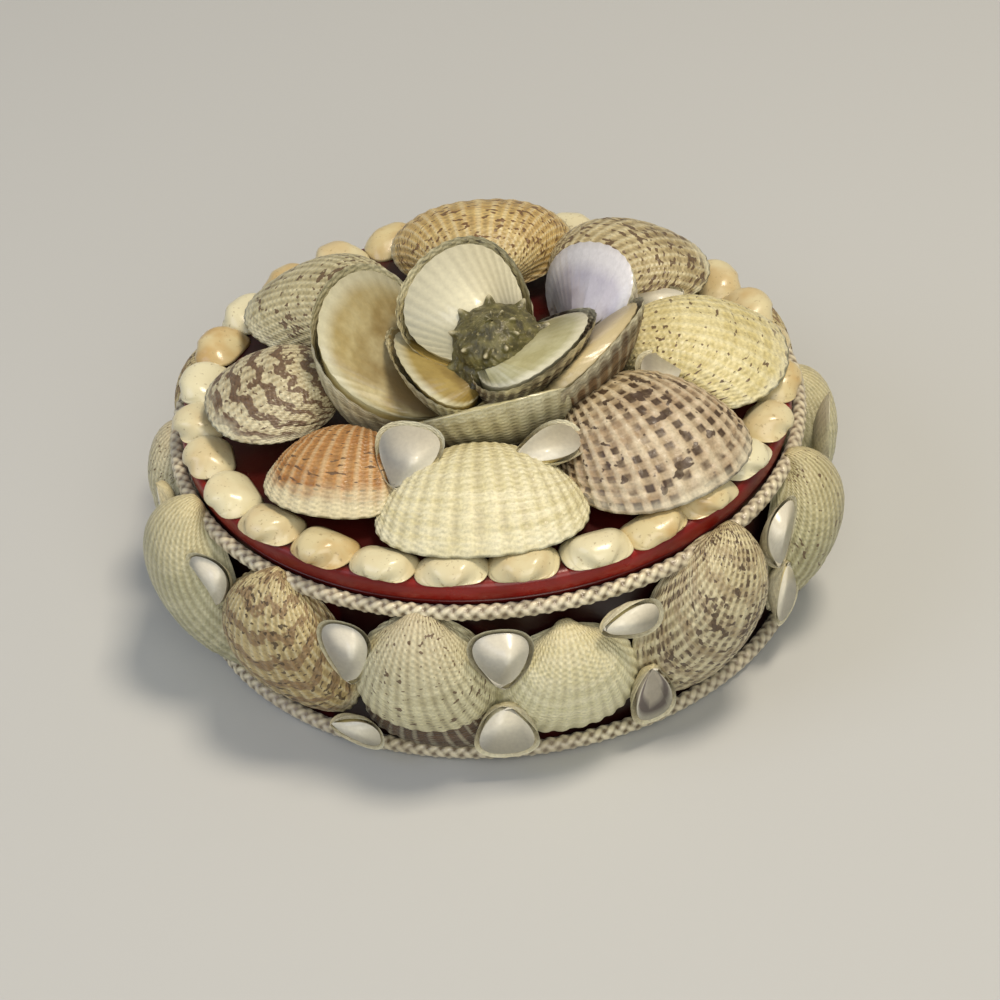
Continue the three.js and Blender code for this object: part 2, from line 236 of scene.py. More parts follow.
def close(tree, shader):
    put(tree, "OutputMaterial", {"Surface": shader})


# ---- materials

def ribbed_shell(name, look, seed):
    """Aragonite, chalky and unpolished: the ribs catch a dull shine, their tops carry a painted highlight,
    and the grooves between them are coloured darker.
    Noise scales are in patches to the metre: 160 gives blotches of 6 mm, and 1900 a grain of 0.5 mm."""
    made, tree = blank(name)
    at = put(tree, "TexCoord", {})
    uv = put(tree, "SeparateXYZ", {"Vector": at.outputs["UV"]})
    u, v = uv.outputs["X"], uv.outputs["Y"]
    turn = put(tree, "Math", {0: u, 1: TAU * look["ribs"]}, operation="MULTIPLY")
    wave = put(tree, "Math", {0: turn}, operation="COSINE")
    groove = put(tree, "MapRange", {"Value": wave, 1: 0.1, 2: -1.0, 3: 0.0, 4: 1.0})
    # Growth shows as rings, so this noise is short from the margin to the beak and long round the valve.
    ringed = put(tree, "CombineXYZ", {"X": put(tree, "Math", {0: u, 1: 5.0}, operation="MULTIPLY"),
                                      "Y": put(tree, "Math", {0: v, 1: 26.0}, operation="MULTIPLY"),
                                      "Z": seed * 3.7})
    growth = put(tree, "TexNoise", {"Vector": ringed, "Scale": 1.0, "Detail": 3.0})
    patch = put(tree, "TexNoise", {"Vector": at.outputs["Object"], "Scale": 160.0, "Detail": 4.0})
    grain = put(tree, "TexNoise", {"Vector": at.outputs["Object"], "Scale": 1900.0, "Detail": 4.0})
    shade = put(tree, "MapRange", {"Value": growth, 1: 0.38, 2: 0.62, 3: 0.0, 4: 1.0})
    colour = put(tree, "MixRGB", {"Fac": shade, "Color1": tone(look["base"]), "Color2": tone(look["alt"])})
    high = put(tree, "MapRange", {"Value": v, 1: look["reach"], 2: 1.0, 3: 0.0, 4: 0.85})
    colour = put(tree, "MixRGB", {"Fac": high, "Color1": colour, "Color2": tone(look["umbo"])})
    # Painted highlight: the rib tops are mixed up to 0.35 towards the pale margin colour.
    painted_crest_highlight = put(tree, "MapRange", {"Value": wave, 1: 0.1, 2: 1.0, 3: 0.0, 4: 0.35})
    colour = put(tree, "MixRGB", {"Fac": painted_crest_highlight, "Color1": colour, "Color2": tone(look["margin"])})
    blotch = put(tree, "MapRange", {"Value": patch, 1: 0.5, 2: 0.75, 3: 0.0, 4: 0.5})
    colour = put(tree, "MixRGB", {"Fac": blotch, "Color1": colour, "Color2": tone(look["alt"])})
    # The margin is the newest shell, and paler. Its edge follows the growth noise.
    low = put(tree, "Math", {0: growth, 1: 0.12, 2: v}, operation="MULTIPLY_ADD")
    low = put(tree, "Math", {0: patch, 1: 0.3, 2: low}, operation="MULTIPLY_ADD")
    rim = look["rim"]
    fresh = put(tree, "MapRange", {"Value": low, 1: rim + 0.12, 2: rim + 0.26, 3: 0.9, 4: 0.0})
    # Zigzag bands: a ring that is pushed up and down as it goes round.
    saw = put(tree, "Math", {0: u, 1: look["zigs"] * 2.0}, operation="MULTIPLY")
    saw = put(tree, "Math", {0: saw, 1: 1.0}, operation="PINGPONG")
    path = put(tree, "Math", {0: v, 1: 7.0}, operation="MULTIPLY")
    path = put(tree, "Math", {0: saw, 1: look["zag"], 2: path}, operation="MULTIPLY_ADD")
    rough = put(tree, "TexNoise", {"Vector": at.outputs["UV"], "Scale": 22.0, "Detail": 3.0})
    path = put(tree, "Math", {0: rough, 1: 1.1, 2: path}, operation="MULTIPLY_ADD")
    beat = put(tree, "Math", {0: put(tree, "Math", {0: path, 1: TAU}, operation="MULTIPLY")},
               operation="SINE")
    band = put(tree, "MapRange", {"Value": beat, 1: 0.2, 2: 0.6, 3: 0.0, 4: look["bands"]})
    colour = put(tree, "MixRGB", {"Fac": band, "Color1": colour, "Color2": tone(look["band"])})
    # Flecks sit in square cells between the growth lines, a few together.
    around = put(tree, "Math", {0: u, 1: look["ribs"] * 1.5}, operation="MULTIPLY")
    along = put(tree, "Math", {0: v, 1: look["cells"] * 1.4}, operation="MULTIPLY")
    cell = put(tree, "CombineXYZ", {"X": around, "Y": along, "Z": seed * 1.3})
    speck = put(tree, "TexNoise", {"Vector": cell, "Scale": 0.9, "Detail": 2.0, "Roughness": 0.4})
    gate = 0.66 - 0.16 * look["flecks"] if look["flecks"] else 2.0
    near = put(tree, "MapRange", {"Value": patch, 1: 0.35, 2: 0.65, 3: 0.05, 4: -0.04})
    speck = put(tree, "Math", {0: speck, 1: near}, operation="SUBTRACT")
    fleck = put(tree, "MapRange", {"Value": speck, 1: gate, 2: gate + 0.03, 3: 0.0, 4: 0.9})
    colour = put(tree, "MixRGB", {"Fac": fleck, "Color1": colour, "Color2": tone(look["fleck"])})
    # A net of pale ribs and pale growth lines with dark meshes.
    line = put(tree, "Math", {0: put(tree, "Math", {0: v, 1: TAU * look["cells"]}, operation="MULTIPLY")},
               operation="COSINE")
    gap = put(tree, "MapRange", {"Value": wave, 1: 0.35, 2: -0.3, 3: 0.0, 4: 1.0})
    mesh = put(tree, "Math", {0: put(tree, "MapRange", {"Value": line, 1: 0.4, 2: -0.3, 3: 0.0, 4: 1.0}),
                              1: gap}, operation="MULTIPLY")
    mesh = put(tree, "Math", {0: mesh, 1: put(tree, "MapRange", {"Value": patch, 1: 0.38, 2: 0.55, 3: 0.15,
                                                               4: look["net"]})}, operation="MULTIPLY")
    mesh = put(tree, "Math", {0: mesh, 1: min(1.0, look["net"] * 10)}, operation="MULTIPLY")
    colour = put(tree, "MixRGB", {"Fac": mesh, "Color1": colour, "Color2": tone(look["fleck"])})
    colour = put(tree, "MixRGB", {"Fac": fresh, "Color1": colour, "Color2": tone(look["margin"])})
    # The grooves between the ribs are coloured darker, in patches and less near the margin.
    groove_mask = put(tree, "Math", {0: groove, 1: look["groove_darkness"]}, operation="MULTIPLY")
    patchy = put(tree, "MapRange", {"Value": patch, 1: 0.3, 2: 0.7, 3: 0.3, 4: 1.0})
    inner = put(tree, "MapRange", {"Value": v, 1: 0.02, 2: 0.14, 3: 0.2, 4: 1.0})
    for share in (patchy, inner):
        groove_mask = put(tree, "Math", {0: groove_mask, 1: share}, operation="MULTIPLY")
    colour = put(tree, "MixRGB", {"Fac": groove_mask, "Color1": colour, "Color2": tone(look["groove_colour"])})
    tint = put(tree, "MapRange", {"Value": grain, 1: 0.3, 2: 0.7, 3: 0.82, 4: 1.12})
    colour = put(tree, "VectorMath", {0: colour, "Scale": tint}, operation="SCALE")
    gloss = look["gloss"]
    worn = put(tree, "MapRange", {"Value": grain, 1: 0.3, 2: 0.7, 3: gloss - 0.1, 4: gloss + 0.2})
    knob = put(tree, "Math", {0: put(tree, "Math", {0: v, 1: TAU * look["beads"]}, operation="MULTIPLY")},
               operation="COSINE")
    knob = put(tree, "Math", {0: knob, 1: wave}, operation="MULTIPLY")
    tall = put(tree, "Math", {0: grain, 1: 0.9, 2: knob}, operation="MULTIPLY_ADD")
    bump = put(tree, "Bump", {"Height": tall, "Strength": 0.35, "Distance": 0.0002})
    close(tree, put(tree, "BsdfPrincipled", {"Base Color": colour, "Roughness": worn, "Normal": bump,
                                             "Specular IOR Level": 0.45}))
    return made


def glossy_inside(name, base, deep, stain, rim, seed, reach, amount, ventral=False):
    """The polished porcelain inside of a valve: smooth and wet looking, stained towards the hinge,
    or on the small clams, whose muscle scars are dark, towards the margin's middle."""
    made, tree = blank(name)
    at = put(tree, "TexCoord", {})
    uv = put(tree, "SeparateXYZ", {"Vector": at.outputs["UV"]})
    v = uv.outputs["Y"]
    inward = v
    if ventral:
        off = put(tree, "Math", {0: uv.outputs["X"], 1: 0.5}, operation="SUBTRACT")
        off = put(tree, "Math", {0: off}, operation="ABSOLUTE")
        off = put(tree, "Math", {0: off, 1: 1.5, 2: v}, operation="MULTIPLY_ADD")
        inward = put(tree, "Math", {0: 1.0, 1: off}, operation="SUBTRACT")
    cloud = put(tree, "TexNoise", {"Vector": at.outputs["Object"], "Scale": 90.0 + seed, "Detail": 3.0})
    grain = put(tree, "TexNoise", {"Vector": at.outputs["Object"], "Scale": 1500.0, "Detail": 3.0})
    soft = put(tree, "MapRange", {"Value": cloud, 1: 0.35, 2: 0.65, 3: 0.0, 4: 1.0})
    colour = put(tree, "MixRGB", {"Fac": soft, "Color1": tone(base), "Color2": tone(deep)})
    depth = put(tree, "Math", {0: cloud, 1: 0.5, 2: inward}, operation="MULTIPLY_ADD")
    mark = put(tree, "MapRange", {"Value": depth, 1: reach + 0.15, 2: reach + 0.4, 3: 0.0, 4: amount})
    colour = put(tree, "MixRGB", {"Fac": mark, "Color1": colour, "Color2": tone(stain)})
    edge = put(tree, "MapRange", {"Value": v, 1: 0.03, 2: 0.1, 3: 0.9, 4: 0.0})
    colour = put(tree, "MixRGB", {"Fac": edge, "Color1": colour, "Color2": tone(rim)})
    tint = put(tree, "MapRange", {"Value": grain, 1: 0.3, 2: 0.7, 3: 0.94, 4: 1.05})
    colour = put(tree, "VectorMath", {0: colour, "Scale": tint}, operation="SCALE")
    bump = put(tree, "Bump", {"Height": cloud, "Strength": 0.25, "Distance": 0.0006})
    close(tree, put(tree, "BsdfPrincipled", {"Base Color": colour, "Roughness": 0.3, "Normal": bump,
                                             "Coat Weight": 0.25, "Coat Roughness": 0.12}))
    return made


def red_covering():
    """Glossy red paper over card. It keeps its bright red on the lid's edge and in a few patches; elsewhere
    it is painted near black, as painted shade between the glued shells.
    """
    made, tree = blank("red_paper_covering")
    at = put(tree, "TexCoord", {})
    cloud = put(tree, "TexNoise", {"Vector": at.outputs["Object"], "Scale": 70.0, "Detail": 5.0})
    fine = put(tree, "TexNoise", {"Vector": at.outputs["Object"], "Scale": 1400.0, "Detail": 3.0})
    faded = put(tree, "MapRange", {"Value": cloud, 1: 0.35, 2: 0.7, 3: 0.0, 4: 1.0})
    colour = put(tree, "MixRGB", {"Fac": faded, "Color1": tone("8c1a10"), "Color2": tone("5c0d07")})
    # Only the lid's edge, from 35.5 to 40.6 mm up, keeps its bright red; below it and on the lid's top
    # the red is painted dark as painted shade.
    spot = put(tree, "SeparateXYZ", {"Vector": at.outputs["Object"]}).outputs
    low = put(tree, "MapRange", {"Value": spot["Z"], 1: 0.0355, 2: 0.0372, 3: 0.0, 4: 1.0})
    top = put(tree, "MapRange", {"Value": spot["Z"], 1: 0.0404, 2: 0.0406, 3: 1.0, 4: 0.15})
    painted_lit_mask = put(tree, "Math", {0: low, 1: top}, operation="MULTIPLY")
    patch = put(tree, "MapRange", {"Value": cloud, 1: 0.58, 2: 0.7, 3: 0.0, 4: 0.5})
    painted_lit_mask = put(tree, "Math", {0: painted_lit_mask, 1: patch}, operation="MAXIMUM")
    # Painted shade: where the mask is low the paper is painted near black, for the shade between the shells.
    colour = put(tree, "MixRGB", {"Fac": painted_lit_mask, "Color1": tone("200606"), "Color2": colour})
    bump = put(tree, "Bump", {"Height": fine, "Strength": 0.3, "Distance": 0.0001})
    worn = put(tree, "MapRange", {"Value": cloud, 1: 0.3, 2: 0.7, 3: 0.25, 4: 0.45})
    close(tree, put(tree, "BsdfPrincipled", {"Base Color": colour, "Roughness": worn, "Normal": bump}))
    return made


def satin_braid():
    """Cream satin yarn, plaited: each strand is smooth along its run and catches one small bright glint.
    The low places between the strands are painted dark brown, as painted shade.
    """
    made, tree = blank("satin_braid")
    at = put(tree, "TexCoord", {})
    uv = put(tree, "SeparateXYZ", {"Vector": at.outputs["UV"]})
    cloud = put(tree, "TexNoise", {"Vector": at.outputs["Object"], "Scale": 60.0, "Detail": 3.0})
    run = put(tree, "Math", {0: uv.outputs["X"], 1: 900.0}, operation="MULTIPLY")
    around = put(tree, "Math", {0: uv.outputs["Y"], 1: 40.0}, operation="MULTIPLY")
    yarn = put(tree, "CombineXYZ", {"X": run, "Y": around})
    fibre = put(tree, "TexNoise", {"Vector": yarn, "Scale": 1.0, "Detail": 2.0})
    high = put(tree, "Attribute", {}, attribute_name="raised").outputs["Fac"]
    # Painted shade: the low places between the strands are painted dark brown and the raised strands cream.
    shade = put(tree, "MapRange", {"Value": high, 1: 0.45, 2: 0.85, 3: 0.0, 4: 1.0})
    colour = put(tree, "MixRGB", {"Fac": shade, "Color1": tone("6e5f48"), "Color2": tone("e2d9ba")})
    warm = put(tree, "MapRange", {"Value": cloud, 1: 0.4, 2: 0.65, 3: 0.0, 4: 0.5})
    colour = put(tree, "MixRGB", {"Fac": warm, "Color1": colour, "Color2": tone("a39683")})
    bump = put(tree, "Bump", {"Height": fibre, "Strength": 0.5, "Distance": 0.00015})
    close(tree, put(tree, "BsdfPrincipled", {"Base Color": colour, "Roughness": 0.26, "Normal": bump,
                                             "Specular IOR Level": 0.8, "Sheen Weight": 0.2}))
    return made


def polished_button():
    """Small sea-worn valves, polished by sand: cream, some blushed with tan."""
    made, tree = blank("polished_small_shell")
    at = put(tree, "TexCoord", {})
    uv = put(tree, "SeparateXYZ", {"Vector": at.outputs["UV"]})
    which = put(tree, "Math", {0: uv.outputs["X"]}, operation="FLOOR")
    chance = put(tree, "TexWhiteNoise", {"W": which}, noise_dimensions="1D")
    cloud = put(tree, "TexNoise", {"Vector": at.outputs["Object"], "Scale": 130.0, "Detail": 3.0})
    grain = put(tree, "TexNoise", {"Vector": at.outputs["Object"], "Scale": 1300.0, "Detail": 4.0})
    blush = put(tree, "MapRange", {"Value": cloud, 1: 0.4, 2: 0.62, 3: 0.0, 4: 1.0})
    blush = put(tree, "Math", {0: chance, 1: blush}, operation="MULTIPLY")
    colour = put(tree, "MixRGB", {"Fac": chance, "Color1": tone("e0dab8"), "Color2": tone("d2c394")})
    colour = put(tree, "MixRGB", {"Fac": blush, "Color1": colour, "Color2": tone("bd9c62")})
    freckle = put(tree, "MapRange", {"Value": grain, 1: 0.62, 2: 0.7, 3: 0.0, 4: 0.5})
    colour = put(tree, "MixRGB", {"Fac": freckle, "Color1": colour, "Color2": tone("8c7650")})
    bump = put(tree, "Bump", {"Height": cloud, "Strength": 0.4, "Distance": 0.0008})
    close(tree, put(tree, "BsdfPrincipled", {"Base Color": colour, "Roughness": 0.28, "Normal": bump,
                                             "Coat Weight": 0.3, "Coat Roughness": 0.15}))
    return made


def weathered_snail():
    """Old olive-brown shell with crust in its hollows; the knobs are rubbed pale."""
    made, tree = blank("weathered_snail_shell")
    at = put(tree, "TexCoord", {})
    crust = put(tree, "TexNoise", {"Vector": at.outputs["Object"], "Scale": 420.0, "Detail": 6.0})
    fine = put(tree, "TexNoise", {"Vector": at.outputs["Object"], "Scale": 1500.0, "Detail": 4.0})
    raised = put(tree, "Attribute", {}, attribute_name="raised").outputs["Fac"]
    crusted = put(tree, "MapRange", {"Value": crust, 1: 0.4, 2: 0.62, 3: 0.0, 4: 1.0})
    colour = put(tree, "MixRGB", {"Fac": crusted, "Color1": tone("454126"), "Color2": tone("6d683f")})
    speckled = put(tree, "MapRange", {"Value": fine, 1: 0.6, 2: 0.7, 3: 0.0, 4: 0.8})
    colour = put(tree, "MixRGB", {"Fac": speckled, "Color1": colour, "Color2": tone("9c9268")})
    worn = put(tree, "MapRange", {"Value": raised, 1: 0.55, 2: 0.9, 3: 0.0, 4: 0.85})
    colour = put(tree, "MixRGB", {"Fac": worn, "Color1": colour, "Color2": tone("bcb596")})
    bump = put(tree, "Bump", {"Height": crust, "Strength": 0.9, "Distance": 0.0008})
    close(tree, put(tree, "BsdfPrincipled", {"Base Color": colour, "Roughness": 0.36, "Normal": bump}))
    return made


def plain_stage(code):
    made, tree = blank("pale_table")
    close(tree, put(tree, "BsdfPrincipled", {"Base Color": tone(code), "Roughness": 0.9}))
    return made


# ---- shapes

def ease(low, high, value):
    """0 below low, 1 above high, and smooth between."""
    t = np.clip((value - low) / (high - low), 0, 1)
    return t * t * (3 - 2 * t)


def skin(form, width, length, u, v, skew=0.0, turn=TURN):
    """Points of one valve: u runs round the margin from beak to beak, and v from the margin up into the beak.
    The margin is a loop through the beak. Each ring is that loop swung about the hinge line and shrunk."""
    phi = TAU * u
    full = 1 - math.exp(-form["flat"] * turn)
    swing = -np.log(1 - np.clip(v, 0, 1) * full) / form["flat"]
    shrink = np.exp(-form["flat"] * swing)
    narrow = np.exp(-form["flat"] * swing * (BREADTH + (1 - BREADTH) * swing / TURN))
    side = np.sign(np.sin(phi)) * np.abs(np.sin(phi)) ** form["square"]
    across = width / 2 * side * (1 - form["flare"] * np.cos(phi)) * narrow
    along = length * ((1 - np.cos(phi)) / 2) ** form["point"] * shrink
    across = across + skew * along * (1 - along / length)
    return np.stack([across, along * np.cos(swing), along * np.sin(swing)], axis=-1)


def outward(form, width, length, u, v, skew=0.0):
    """The way out of the valve's surface at each point."""
    step = 1e-4
    a = np.clip(u, 0.004, 0.996)
    b = np.clip(v, step, 1 - step)
    side = skin(form, width, length, a + step, b, skew) - skin(form, width, length, a - step, b, skew)
    rise = skin(form, width, length, a, b + step, skew) - skin(form, width, length, a, b - step, skew)
    way = np.cross(side, rise)
    return way / np.maximum(np.linalg.norm(way, axis=-1, keepdims=True), 1e-12)


def relief(look, u, v, seed):
    """How far the ribs, beads and growth steps stand out of a ribbed valve, in millimetres."""
    turn = np.random.default_rng(seed)
    window = ease(0.03, 0.12, u) * ease(0.03, 0.12, 1 - u)
    fade = (1 - v) ** 0.7
    wave = 0.5 + 0.5 * np.cos(TAU * look["ribs"] * u)
    tall = look["height"] * wave ** 0.45 * window * fade
    tall = tall * (0.35 + 0.65 * ease(0.0, 0.05, v))
    bead = 0.5 + 0.5 * np.cos(TAU * look["beads"] * v)
    tall = tall + look["bead"] * ease(0.0, 0.04, v) * wave * bead * window * fade
    for _ in range(look["steps"]):
        where, deep, wobble = turn.uniform(0.06, 0.6), turn.uniform(0.1, 0.3), turn.uniform(0, TAU)
        line = where + 0.008 * np.sin(3 * TAU * u + wobble)
        tall = tall - deep * np.exp(-((v - line) / 0.012) ** 2) * fade
        swell = ease(line, line + 0.03, v) * (1 - ease(line + 0.05, line + 0.2, v))
        tall = tall + 0.5 * deep * swell * fade
    for count in (1, 2, 3):
        tall = tall + 0.22 / count * np.sin(TAU * count * u + turn.uniform(0, TAU)) * np.sin(
            math.pi * count * v + turn.uniform(0, TAU)) * window
    return tall


def flat_grid(around, along):
    """A flat grid with a UV map, and the u and v of each of its points."""
    bm = bmesh.new()
    bm.loops.layers.uv.new("UVMap")
    bmesh.ops.create_grid(bm, x_segments=around, y_segments=along, size=0.5, calc_uvs=True)
    spots = np.array([v.co for v in bm.verts])
    return bm, spots[:, 0] + 0.5, spots[:, 1] + 0.5


def lay(bm, points):
    """Moves each point of the grid to its place, and merges those that meet at the beak."""
    for vert, point in zip(bm.verts, points):
        vert.co = point
    bmesh.ops.remove_doubles(bm, verts=bm.verts, dist=1e-7)


def place_of(row):
    az, r, z, pitch, spin, rock, _, length = row
    return (
        Matrix.Rotation(math.radians(az + 180), 4, "Z")
        @ Matrix.Translation((0, r * MM, z * MM))
        @ Matrix.Rotation(math.radians(pitch - 90), 4, "X")
        @ Matrix.Rotation(math.radians(spin), 4, "Z")
        @ Matrix.Rotation(math.radians(rock), 4, "Y")
        @ Matrix.Translation((0, -length / 2 * MM, 0))
    )


def piece(bm, name, materials, node):
    """Makes the object, smooth shaded, gives it its materials, ties it to the body and hides the node's
    imported part.
    """
    for face in bm.faces:
        face.smooth = True
    mesh = bpy.data.meshes.new(name)
    bm.to_mesh(mesh)
    bm.free()
    for material in materials:
        mesh.materials.append(material)
    made = bpy.data.objects.new(name, mesh)
    bpy.context.scene.collection.objects.link(made)
    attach(made, "root")
    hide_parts(node)
    return made


def make_cockle(name, row, look, seed):
    """A ribbed valve glued down by its margin: the carved skin, and a recessed plain underside."""
    width, length = row[6], row[7]
    ribs = look["ribs"]
    bm, u, v = flat_grid(5 * ribs, 64)
    grow = 1 + 0.005 * (0.5 + 0.5 * np.cos(TAU * ribs * u)) * (1 - ease(0.0, 0.03, v))
    points = skin(COCKLE, width, length, u, v, look["skew"])
    way = outward(COCKLE, width, length, u, v, look["skew"])
    points = points * grow[:, None] + way * relief(look, u, v, seed)[:, None]
    if look["chips"]:
        jagged = np.sin(TAU * 5.3 * u + 1.0) + 0.5 * np.sin(TAU * 13 * u)
        bite = look["chips"] * np.maximum(0, jagged) * ease(0.3, 0.4, u)
        points[:, 1] -= bite * (1 - ease(0.0, 0.09, v)) * (1 - ease(0.6, 0.75, u))
    top = v > 0.9999
    points[top] = points[top].mean(axis=0)
    lay(bm, points * MM)
    rim = [e for e in bm.edges if e.is_boundary]
    inner = bmesh.ops.extrude_edge_only(bm, edges=rim)["geom"]
    lip = [g for g in inner if isinstance(g, bmesh.types.BMVert)]
    middle = Vector((0, length / 2 * MM, 0))
    for vert in lip:
        vert.co = middle + (vert.co - middle) * 0.93 + Vector((0, 0, 0.0006))
    lower = [g for g in inner if isinstance(g, bmesh.types.BMEdge) and g.is_boundary]
    bmesh.ops.holes_fill(bm, edges=lower)
    bmesh.ops.recalc_face_normals(bm, faces=bm.faces)
    bmesh.ops.transform(bm, matrix=place_of(row), verts=bm.verts)
    return piece(bm, name + "_ribbed", [ribbed_shell(name + "_finish", look, seed)], name)


def make_open(name, row, form, look, seed, wall, materials, fine):
    """An open valve: a carved outside, a smooth inside and the rim that joins them."""
    width, length = row[6], row[7]
    bm, u, v = flat_grid(*fine)
    carved = relief(look, u, v, seed)
    crimp = 1 + look["crimp"] * np.cos(TAU * look["ribs"] * u) * (1 - ease(0.0, 0.06, v))
    points = skin(form, width, length, u, v, look["skew"]) * crimp[:, None]
    points = points + outward(form, width, length, u, v, look["skew"]) * carved[:, None]
    top = v > 0.9999
    points[top] = points[top].mean(axis=0)
    lay(bm, points * MM)
    bmesh.ops.recalc_face_normals(bm, faces=bm.faces)
    lining, u, v = flat_grid(*fine)
    fluted = look["crimp"] * 30 * np.cos(TAU * look["ribs"] * u) * (1 - ease(0.0, 0.05, v))
    points = skin(form, width - 2 * wall, length - 2 * wall, u, v, look["skew"], LINING_TURN)
    points = points + np.array([0, wall, 0.0])
    points = points + outward(form, width, length, u, v, look["skew"]) * fluted[:, None]
    top = v > 0.9999
    points[top] = points[top].mean(axis=0)
    lay(lining, points * MM)
    for face in lining.faces:
        face.material_index = 1
    inside = bpy.data.meshes.new("lining")
    lining.to_mesh(inside)
    lining.free()
    outer = {e for e in bm.edges if e.is_boundary}
    bm.from_mesh(inside)
    bpy.data.meshes.remove(inside)
    inner = [e for e in bm.edges if e.is_boundary and e not in outer]
    for face in bmesh.ops.bridge_loops(bm, edges=list(outer) + inner)["faces"]:
        face.material_index = 1
    bmesh.ops.recalc_face_normals(bm, faces=bm.faces)
    bmesh.ops.transform(bm, matrix=place_of(row), verts=bm.verts)
    return piece(bm, name + "_valve", materials, name)


def turned(outline):
    """A profile of (radius, height) points, in millimetres, turned about Z."""
    bm = bmesh.new()
    verts = [bm.verts.new((r * MM, 0, z * MM)) for r, z in outline]
    edges = [bm.edges.new(pair) for pair in zip(verts, verts[1:])]
    bmesh.ops.spin(bm, geom=verts + edges, cent=(0, 0, 0), axis=(0, 0, 1), angle=TAU, steps=ROUND_STEPS,
                   use_merge=True)
    bmesh.ops.remove_doubles(bm, verts=bm.verts, dist=1e-6)
    bmesh.ops.recalc_face_normals(bm, faces=bm.faces)
    return bm


# ---- settings

class ShellBoxSettings(bpy.types.PropertyGroup):
    """Sizes and colours of the box."""

    cord_radius: bpy.props.FloatProperty(
        name="Cord ring radius", description="From the box's axis to the middle of the braid",
        default=0.0601, unit="LENGTH")
    cord_thickness: bpy.props.FloatProperty(
        name="Cord thickness", description="Across the braid", default=0.003, unit="LENGTH")
    valve_wall: bpy.props.FloatProperty(
        name="Open valve wall", description="Thickness of the rosette's valves",
        default=0.0015, unit="LENGTH")
    table_colour: bpy.props.StringProperty(
        name="Table colour", description="sRGB hex colour of the table", default="bdbfbe")
    lens: bpy.props.FloatProperty(
        name="Lens", description="Focal length for a 36 mm sensor", default=90.71, subtype="NONE")


class SHELLBOX_OT_stage(bpy.types.Operator):
    """Make the pale table, the lights and the camera"""

    bl_idname = "shellbox.stage"
    bl_label = "Stage"

    def execute(self, context):
        settings = context.scene.shell_box
        bm = bmesh.new()
        bmesh.ops.create_grid(bm, x_segments=1, y_segments=1, size=4.0)
        mesh = bpy.data.meshes.new("table")
        bm.to_mesh(mesh)
        bm.free()
        mesh.materials.append(plain_stage(settings.table_colour))
        table = bpy.data.objects.new("table", mesh)
        context.scene.collection.objects.link(table)
        table.location.z = -0.0002
        for name, place, size, power, colour in (
            ("window", (0.3, 0.0, 1.1), 0.3, 8.5, "fff0da"),
            ("sky", (-0.8, -0.25, 0.7), 0.6, 2.2, "dde5ff"),
            ("room", (0.15, -1.0, 0.75), 0.9, 7.0, "fffaf0"),
        ):
            light = bpy.data.lights.new(name, "AREA")
            light.size = size
            light.energy = power
            light.color = tone(colour)[:3]
            lamp = bpy.data.objects.new(name, light)
            lamp.location = place
            lamp.rotation_euler = (Vector((0, 0, 0.02)) - lamp.location).to_track_quat("-Z", "Y").to_euler()
            context.scene.collection.objects.link(lamp)
        world = bpy.data.worlds.new("room")
        world.use_nodes = True
        world.node_tree.nodes["Background"].inputs["Color"].default_value = tone("f4f5f2")
        world.node_tree.nodes["Background"].inputs["Strength"].default_value = 0.26
        context.scene.world = world
        context.scene.view_settings.view_transform = "Standard"
        # The camera looks down by lift and is tipped by roll, in radians, from away metres.
        lift, roll, away = 0.668, -0.089, 0.49
        target = Vector((0.00095, -0.00945, 0.02))
        back = Vector((0, -math.cos(lift), math.sin(lift)))
        side = Vector((1, 0, 0))
        up = back.cross(side)
        right = side * math.cos(roll) + up * math.sin(roll)
        over = up * math.cos(roll) - side * math.sin(roll)
        eye = bpy.data.cameras.new("camera")
        eye.lens = settings.lens
        eye.sensor_width = 36
        eye.clip_start = 0.01
        camera = bpy.data.objects.new("camera", eye)
        turn = Matrix((right, over, back)).transposed().to_4x4()
        camera.matrix_world = Matrix.Translation(target + back * away) @ turn
        context.scene.collection.objects.link(camera)
        context.scene.camera = camera
        return {"FINISHED"}


class SHELLBOX_OT_card_box(bpy.types.Operator):
    """Make the red card box and its lid"""

    bl_idname = "shellbox.card_box"
    bl_label = "Card box and lid"

    def execute(self, context):
        red = red_covering()
        parts = (("red_card_box", "box_base", BOX_PROFILE), ("red_card_lid", "lid", LID_PROFILE))
        for name, node, profile in parts:
            made = piece(turned(profile), name, [red], node)
            made.data.set_sharp_from_angle(angle=math.radians(35))
        return {"FINISHED"}


class SHELLBOX_OT_cords(bpy.types.Operator):
    """Make the two braids glued round the wall"""

    bl_idname = "shellbox.cords"
    bl_label = "Cords"

    def execute(self, context):
        settings = context.scene.shell_box
        satin = satin_braid()
        for node, name in (("cord_top", "upper_braid"), ("cord_bottom", "lower_braid")):
            low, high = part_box(node)
            height = (low[2] + high[2]) / 2 + 0.0001
            bm, s, t = flat_grid(1350, 22)
            raised = bm.verts.layers.float.new("raised")
            # Two families of strands wind round the cord in opposite ways and pass over each other in turn.
            one = math.pi * (STRANDS * t + PLAITS * s)
            two = math.pi * (STRANDS * t - PLAITS * s)
            turns = np.cos(one) * np.cos(two)
            strand = np.maximum(np.abs(np.cos(one)) ** 0.6 * (0.74 + 0.26 * turns),
                                np.abs(np.cos(two)) ** 0.6 * (0.74 - 0.26 * turns))
            for vert, tall in zip(bm.verts, strand):
                vert[raised] = tall
            thick = settings.cord_thickness / 2 * (0.6 + 0.42 * strand)
            wander = 0.00012 * np.sin(TAU * 7 * s) + 0.0001 * np.sin(TAU * 17 * s + 1)
            reach = settings.cord_radius + thick * np.cos(TAU * t) + wander * 0.5
            rise = height + thick * np.sin(TAU * t) + wander * 0.4
            points = np.stack([reach * np.cos(TAU * s), reach * np.sin(TAU * s), rise], -1)
            lay(bm, points)
            bmesh.ops.recalc_face_normals(bm, faces=bm.faces)
            piece(bm, name, [satin], node)
        return {"FINISHED"}


